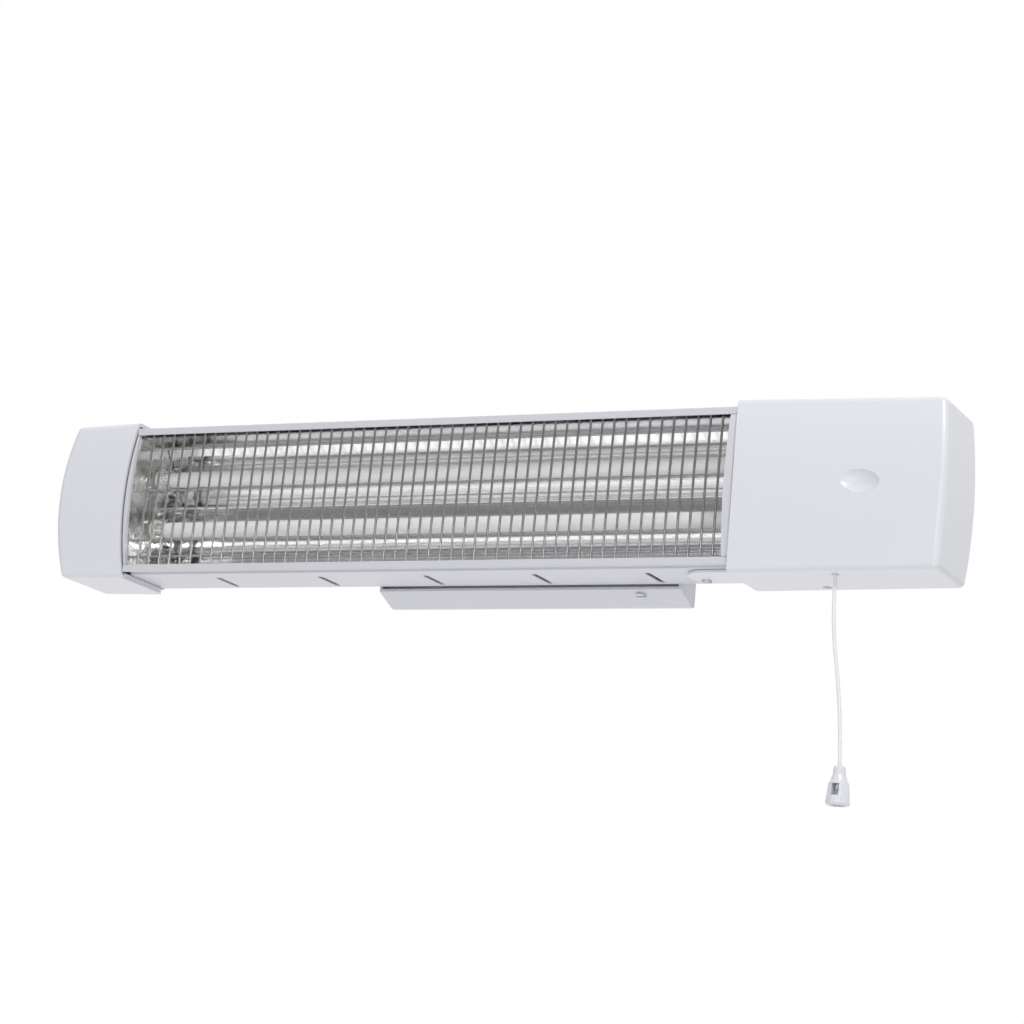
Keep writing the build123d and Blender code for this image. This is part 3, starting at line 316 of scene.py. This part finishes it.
# Pull cord and the knot at its end, inside the knob
CORD_DIAMETER = 0.0022
CORD_ROUTE = (
    (0.2168, -0.0690, -0.0192),
    (0.2167, -0.0691, -0.0485),
    (0.2176, -0.0686, -0.0785),
    (0.2216, -0.0674, -0.1045),
    (0.2242, -0.0660, -0.1300),
    (0.2252, -0.0652, -0.1546),
)
KNOT_STRAND = 0.0019
KNOT_SIZE = 0.00050
KNOT_POINTS = 24
KNOT_RISE = 1.6  # of KNOT_SIZE, up and down where the strands cross
TUBE_ROUND_STEPS = 6
TUBE_LENGTH_STEPS = 16
TUBE_ORDER = 3


def nurbs_tube(name, points, diameter, closed=False):
    """A round tube on a smooth line with the points as its control points."""
    data = bpy.data.curves.new(name, "CURVE")
    data.dimensions = "3D"
    data.bevel_depth = diameter / 2
    data.bevel_resolution = TUBE_ROUND_STEPS
    data.resolution_u = TUBE_LENGTH_STEPS
    data.use_fill_caps = not closed
    line = data.splines.new("NURBS")
    line.points.add(len(points) - 1)
    for point, place in zip(line.points, points):
        point.co = (*place, 1.0)
    line.order_u = TUBE_ORDER
    if closed:
        line.use_cyclic_u = True
    else:
        line.use_endpoint_u = True
    data.materials.append(MATERIALS["white_cord"])
    return data


knot_low, knot_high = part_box("cord_knot")
knot_middle = (Vector(knot_low) + Vector(knot_high)) / 2
knot_route = []  # a trefoil
for step in range(KNOT_POINTS):
    angle = 2 * math.pi * step / KNOT_POINTS
    across = math.sin(angle) + 2 * math.sin(2 * angle)
    along = math.cos(angle) - 2 * math.cos(2 * angle)
    rise = -KNOT_RISE * math.sin(3 * angle)
    knot_route.append(knot_middle + KNOT_SIZE * Vector((across, along, rise)))
overhand_knot = add_piece(
    "overhand_knot", nurbs_tube("overhand_knot", knot_route, KNOT_STRAND, closed=True),
    "pull", "cord_knot",
)
hanging_cord = add_piece(
    "hanging_cord", nurbs_tube("hanging_cord", CORD_ROUTE, CORD_DIAMETER),
    "pull", "pull_cord",
)

# Reflector: one folded sheet with a smooth profile
REFLECTOR_SHEET = 0.0006
REFLECTOR_FRONT, FLANGE_HIGH, FLANGE_LOW, FOLD_Y = -0.0735, 0.0496, -0.0346, -0.0700
TROUGH_RADIUS, TROUGH_DEPTH, TROUGH_HALF = 0.019104, -0.050104, 0.0173
TROUGH_HEIGHTS = (0.0280, -0.0066)
FLANGE_SET_FORWARD = 0.0020  # the upper flange's back edge, in front of the trough's
RIDGE_RADIUS = 0.0010
ARC_STEPS = 28
RIDGE_STEPS = 10
REFLECTOR_STATIONS = 40
SHARP_ANGLE = math.radians(20)


def reflector_profile(grow):
    """Points of the sheet's section in Y and Z, its line moved back by grow."""
    radius = TROUGH_RADIUS + grow
    half_angle = math.asin(TROUGH_HALF / radius)
    ridge = RIDGE_RADIUS - grow
    ridge_angle = math.asin(TROUGH_HALF / (radius + ridge))
    ridge_y = TROUGH_DEPTH + (radius + ridge) * math.cos(ridge_angle)
    ridge_z = sum(TROUGH_HEIGHTS) / 2
    seam_y = TROUGH_DEPTH + radius * math.cos(half_angle)
    points = [
        (REFLECTOR_FRONT, FLANGE_HIGH + grow),
        (seam_y - FLANGE_SET_FORWARD, FLANGE_HIGH + grow),
    ]
    for height, start, end in zip(
        TROUGH_HEIGHTS, (half_angle, ridge_angle), (-ridge_angle, -half_angle)
    ):
        for step in range(ARC_STEPS + 1):
            angle = start + (end - start) * step / ARC_STEPS
            points.append(
                (TROUGH_DEPTH + radius * math.cos(angle), height + radius * math.sin(angle))
            )
        for step in range(1, RIDGE_STEPS) if end == -ridge_angle else ():
            turn = ridge_angle * (1 - 2 * step / RIDGE_STEPS)
            points.append((ridge_y - ridge * math.cos(turn), ridge_z + ridge * math.sin(turn)))
    points += [(FOLD_Y + grow / 2, FLANGE_LOW - grow), (REFLECTOR_FRONT, FLANGE_LOW - grow)]
    return points


def sheet_between(name, front, back, x0, x1, stations, material):
    """A closed shell between two section lines of as many points, drawn out along X."""
    ring = front + back[::-1]
    size, count = len(ring), len(front)
    vertices, faces = [], []
    for station in range(stations + 1):
        x = x0 + (x1 - x0) * station / stations
        vertices += [(x, y, z) for y, z in ring]
    for station in range(stations):
        for i in range(size):
            a, b = station * size + i, station * size + (i + 1) % size
            faces.append((a, b, b + size, a + size))
    last = stations * size
    for i in range(count - 1):
        quad = (i, size - 1 - i, size - 2 - i, i + 1)
        faces.append(quad)
        faces.append(tuple(last + k for k in quad[::-1]))
    mesh = bpy.data.meshes.new(name)
    mesh.from_pydata(vertices, [], faces)
    mesh.materials.append(material)
    mesh.polygons.foreach_set("use_smooth", [True] * len(faces))
    mesh.set_sharp_from_angle(angle=SHARP_ANGLE)
    mesh.update()
    return mesh


reflector_low, reflector_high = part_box("reflector")
add_piece(
    "reflector_sheet",
    sheet_between(
        "reflector_sheet", reflector_profile(0), reflector_profile(REFLECTOR_SHEET),
        reflector_low[0], reflector_high[0], REFLECTOR_STATIONS, MATERIALS["polished_reflector"],
    ),
    "heater", "reflector",
)

# End foils: crinkled sheets with a bowed front edge, a back edge that follows the reflector's
# two troughs, and a round hole for each ceramic
FOIL_LOW, FOIL_HIGH = -0.0352, 0.0502
FOIL_FRONTS = {"left": -0.0760, "right": -0.0775}
FOIL_BULGE = 0.0042
FOIL_SHEET = 0.0004
FOIL_COLUMNS, FOIL_ROWS = 46, 72
SEAM_Y, SEAM_Z = -0.0420, 0.0453
SEAM_FALL = 0.0020  # how far the back edge comes forwards from the seam up to the top
FOLD_Z, FOLD_FALL = -0.0239, 0.0280  # the same from the lower fold down to the foot
TUBE_DEPTH, TUBE_HEIGHTS = -0.0490, (0.0276, -0.0062)
HOLE_RADIUS = 0.0073
HOLE_CATCH = (0.82, 1.1)  # of HOLE_RADIUS: points between these move to the hole's edge
CRINKLE_DEPTH = 0.00022
CRINKLE_FLAT_EDGE = 3  # rows or columns over which the crinkles fade out
CRINKLE_LUMPS, CRINKLE_SIDE_STEP = 130, 90  # the second one sets the two foils apart
CRINKLE_FINE_LUMPS, CRINKLE_FINE_PLACE = 380, 7.0
CRINKLE_SHARE, CRINKLE_FINE_SHARE, CRINKLE_SINK = 2.2, 0.35, 0.5


def foil_front(z, ends):
    """The depth of the bowed front edge at height z."""
    middle = (FOIL_LOW + FOIL_HIGH) / 2
    share = (z - middle) / (FOIL_HIGH - middle)
    return ends - FOIL_BULGE * (1 - share ** 2)


def foil_back(z):
    """The depth of the reflector's face at height z."""
    if z > SEAM_Z:
        return SEAM_Y - SEAM_FALL * (z - SEAM_Z) / (FOIL_HIGH - SEAM_Z)
    if z < FOLD_Z:
        return SEAM_Y - (FOLD_Z - z) / (FOLD_Z - FOIL_LOW) * FOLD_FALL
    depths = [SEAM_Y]
    for height in TROUGH_HEIGHTS:
        square = TROUGH_RADIUS ** 2 - (z - height) ** 2
        if square > 0:
            depths.append(TROUGH_DEPTH + math.sqrt(square))
    return max(depths)


def crinkle(y, z, x_face):
    """The crinkles' height at a point of the foil, as a share of their depth."""
    fold = noise.noise(Vector((y * CRINKLE_LUMPS, z * CRINKLE_LUMPS, x_face * CRINKLE_SIDE_STEP)))
    fine = noise.noise(
        Vector((y * CRINKLE_FINE_LUMPS, z * CRINKLE_FINE_LUMPS, CRINKLE_FINE_PLACE))
    )
    return abs(fold) * CRINKLE_SHARE + CRINKLE_FINE_SHARE * fine - CRINKLE_SINK


def foil_mesh(side, x_face, inward, material):
    """A crinkled sheet whose inner face lies at x_face."""
    catch_from, catch_to = (share * HOLE_RADIUS for share in HOLE_CATCH)
    vertices, faces = [], []
    for row in range(FOIL_ROWS + 1):
        z = FOIL_LOW + (FOIL_HIGH - FOIL_LOW) * row / FOIL_ROWS
        front, back = foil_front(z, FOIL_FRONTS[side]), foil_back(z)
        for column in range(FOIL_COLUMNS + 1):
            y = front + (back - front) * column / FOIL_COLUMNS
            spot = Vector((y, z))
            for height in TUBE_HEIGHTS:
                away = spot - Vector((TUBE_DEPTH, height))
                if catch_from < away.length < catch_to:
                    spot = Vector((TUBE_DEPTH, height)) + HOLE_RADIUS * away.normalized()
            from_edge = min(row, FOIL_ROWS - row, column, FOIL_COLUMNS - column)
            depth = min(1.0, from_edge / CRINKLE_FLAT_EDGE) * CRINKLE_DEPTH
            lift = depth * crinkle(spot.x, spot.y, x_face)
            vertices.append((x_face + inward * (lift - CRINKLE_DEPTH), spot.x, spot.y))
    for row in range(FOIL_ROWS):
        for column in range(FOIL_COLUMNS):
            first = row * (FOIL_COLUMNS + 1) + column
            corners = (first, first + 1, first + FOIL_COLUMNS + 2, first + FOIL_COLUMNS + 1)
            centre = sum((Vector(vertices[i][1:]) for i in corners), Vector((0, 0))) / 4
            if all(
                (centre - Vector((TUBE_DEPTH, height))).length > HOLE_RADIUS
                for height in TUBE_HEIGHTS
            ):
                faces.append(corners if inward > 0 else corners[::-1])
    mesh = bpy.data.meshes.new("end_foil_" + side)
    mesh.from_pydata(vertices, [], faces)
    mesh.materials.append(material)
    mesh.polygons.foreach_set("use_smooth", [True] * len(faces))
    mesh.update()
    return mesh


foil_material = end_foil()
for side, inward in (("left", 1), ("right", -1)):
    low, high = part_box("reflector_end_" + side)
    x_face = high[0] if inward > 0 else low[0]
    foil = add_piece(
        "end_foil_" + side, foil_mesh(side, x_face, inward, foil_material),
        "heater", "reflector_end_" + side,
    )
    thickness = foil.modifiers.new("sheet", "SOLIDIFY")
    thickness.thickness = FOIL_SHEET
    thickness.offset = -1.0


# Stage
FLOOR_HEIGHT = -1.2
FLOOR_REACH = 20.0
FLOOR_LIFT = 0.15  # the strength that the floor shows beyond the light it takes


def pale_floor():
    """Matt pale floor, a little paler to the eye and in mirrors than as a source of light."""
    s = Shader("pale_floor")
    path = s.tree.nodes.new("ShaderNodeLightPath")
    glossy, through = path.outputs["Is Glossy Ray"], path.outputs["Is Transmission Ray"]
    shown = s.math("MAXIMUM", path.outputs["Is Camera Ray"], s.math("MAXIMUM", glossy, through))
    s.set(Emission_Color=(1, 1, 1, 1))
    s.feed("Emission Strength", s.math("MULTIPLY", shown, FLOOR_LIFT))
    s.feed("Base Color", s.tint(s.noise(2, 2), (0.90, 0.90, 0.90), (0.92, 0.92, 0.92)))
    s.feed("Roughness", s.spread(s.noise(3, 2), 0.8, 0.9))
    return s.material


floor_corners = [
    (x * FLOOR_REACH, y * FLOOR_REACH, FLOOR_HEIGHT)
    for x, y in ((-1, -1), (1, -1), (1, 1), (-1, 1))
]
floor_mesh = bpy.data.meshes.new("floor")
floor_mesh.from_pydata(floor_corners, [], [(0, 1, 2, 3)])
floor_mesh.materials.append(pale_floor())
floor = bpy.data.objects.new("floor", floor_mesh)
SCENE.collection.objects.link(floor)


# Light
def lamp(name, place, aim, size, power):
    """A soft box at place that faces aim, its power in watts."""
    data = bpy.data.lights.new(name, "AREA")
    data.shape = "RECTANGLE"
    data.size, data.size_y = size
    data.energy = power
    obj = bpy.data.objects.new(name, data)
    obj.location = place
    obj.rotation_mode = "QUATERNION"
    obj.rotation_quaternion = (Vector(aim) - Vector(place)).to_track_quat("-Z", "Y")
    SCENE.collection.objects.link(obj)


lamp("key_soft_box", place=(1.5, -1.7, 1.7), aim=(0.1, 0, 0), size=(0.5, 0.5), power=30)
lamp("fill_soft_box", place=(0.5, -3.0, 0.0), aim=(0, 0, 0), size=(1.2, 1.2), power=15)

FRONT_LEVEL, BACK_LEVEL, CEILING_LEVEL = 0.23, 0.40, 1.32
# Where one level changes into the next, in the Y or Z of the direction towards the world
WALLS_TURN = (-0.05, 0.25)
CEILING_EDGE = (0.47, 0.56)
BEHIND_EDGE = (0.0, 0.05)


def studio_world():
    """A room with a bright ceiling, a white wall behind the object and a dim front."""
    world = bpy.data.worlds.new("studio")
    world.use_nodes = True
    nodes, links = world.node_tree.nodes, world.node_tree.links
    nodes.clear()

    def ramp(axis, turn, low, high):
        """A soft step from low to high where the direction's axis passes through turn."""
        node = nodes.new("ShaderNodeMapRange")
        node.interpolation_type = "SMOOTHSTEP"
        node.inputs["From Min"].default_value, node.inputs["From Max"].default_value = turn
        node.inputs["To Min"].default_value, node.inputs["To Max"].default_value = low, high
        links.new(direction.outputs[axis], node.inputs["Value"])
        return node.outputs["Result"]

    def combine(operation, first, second):
        """The result of one operation on two outputs. A sum stays at or below 1."""
        node = nodes.new("ShaderNodeMath")
        node.operation = operation
        node.use_clamp = operation == "ADD"
        links.new(first, node.inputs[0])
        links.new(second, node.inputs[1])
        return node.outputs[0]

    direction = nodes.new("ShaderNodeSeparateXYZ")
    links.new(nodes.new("ShaderNodeTexCoord").outputs["Generated"], direction.inputs[0])
    walls = ramp("Y", WALLS_TURN, FRONT_LEVEL, BACK_LEVEL)
    ceiling = ramp("Z", CEILING_EDGE, 0.0, CEILING_LEVEL)
    behind = ramp("Y", BEHIND_EDGE, 0.0, 1.0)
    room = nodes.new("ShaderNodeBackground")
    links.new(combine("MAXIMUM", walls, ceiling), room.inputs["Strength"])
    white = nodes.new("ShaderNodeBackground")
    white.inputs["Color"].default_value = (1, 1, 1, 1)
    path = nodes.new("ShaderNodeLightPath")
    mirrored = combine("ADD", path.outputs["Is Glossy Ray"], path.outputs["Is Transmission Ray"])
    shown = combine("ADD", path.outputs["Is Camera Ray"], combine("MULTIPLY", mirrored, behind))
    pick = nodes.new("ShaderNodeMixShader")
    links.new(shown, pick.inputs["Fac"])
    links.new(room.outputs[0], pick.inputs[1])
    links.new(white.outputs[0], pick.inputs[2])
    links.new(pick.outputs[0], nodes.new("ShaderNodeOutputWorld").inputs["Surface"])
    return world


SCENE.world = studio_world()
SCENE.view_settings.view_transform = "Standard"
